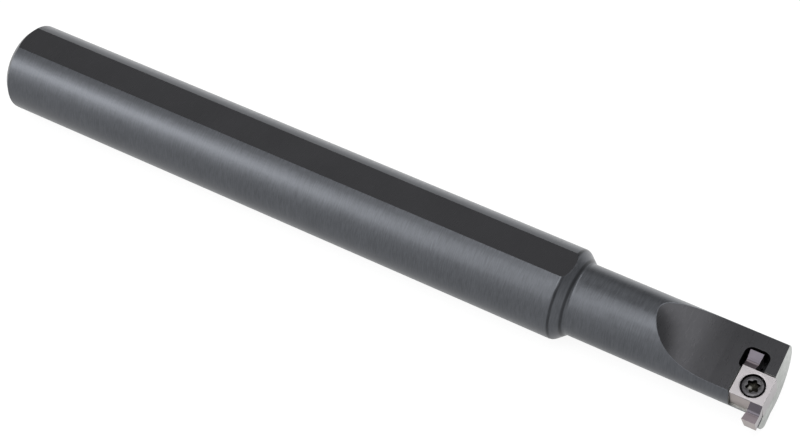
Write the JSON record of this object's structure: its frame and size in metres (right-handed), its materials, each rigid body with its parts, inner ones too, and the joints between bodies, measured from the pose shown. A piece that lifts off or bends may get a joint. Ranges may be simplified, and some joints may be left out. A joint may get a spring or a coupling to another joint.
{
  "type": "grooving tool holder",
  "caption": "Round steel bar for turning internal grooves, flats along its shank and a slim neck, with a small carbide insert held by a countersunk screw.",
  "frame": {"origin": "on the bar's axis at the centre of the shank's back end face", "axes": "+X along the bar towards the cutting end, +Z square to the clamping flats and out of the one that the insert faces, cutting edge towards -Y"},
  "size_m": [0.15, 0.0172, 0.015],
  "materials": {
    "blued_steel": "dark oxide finish, satin, with a bare ground front face",
    "coated_carbide": "ground carbide with a thin pale coating, slightly pink, satin",
    "black_screw_steel": "black oxide, semi-matt"
  },
  "bodies": {
    "bar": {"holder": "blued_steel", "insert": "coated_carbide"},
    "screw": {"clamping_screw": "black_screw_steel"}
  },
  "joints": [
    {"name": "screw_turn", "type": "hinge", "parent": "bar", "child": "screw", "pos_m": [0.1469, -0.00373, 0.00201], "axis": [0, -0.2351, 0.972], "range_deg": [0, 2260]}
  ]
}
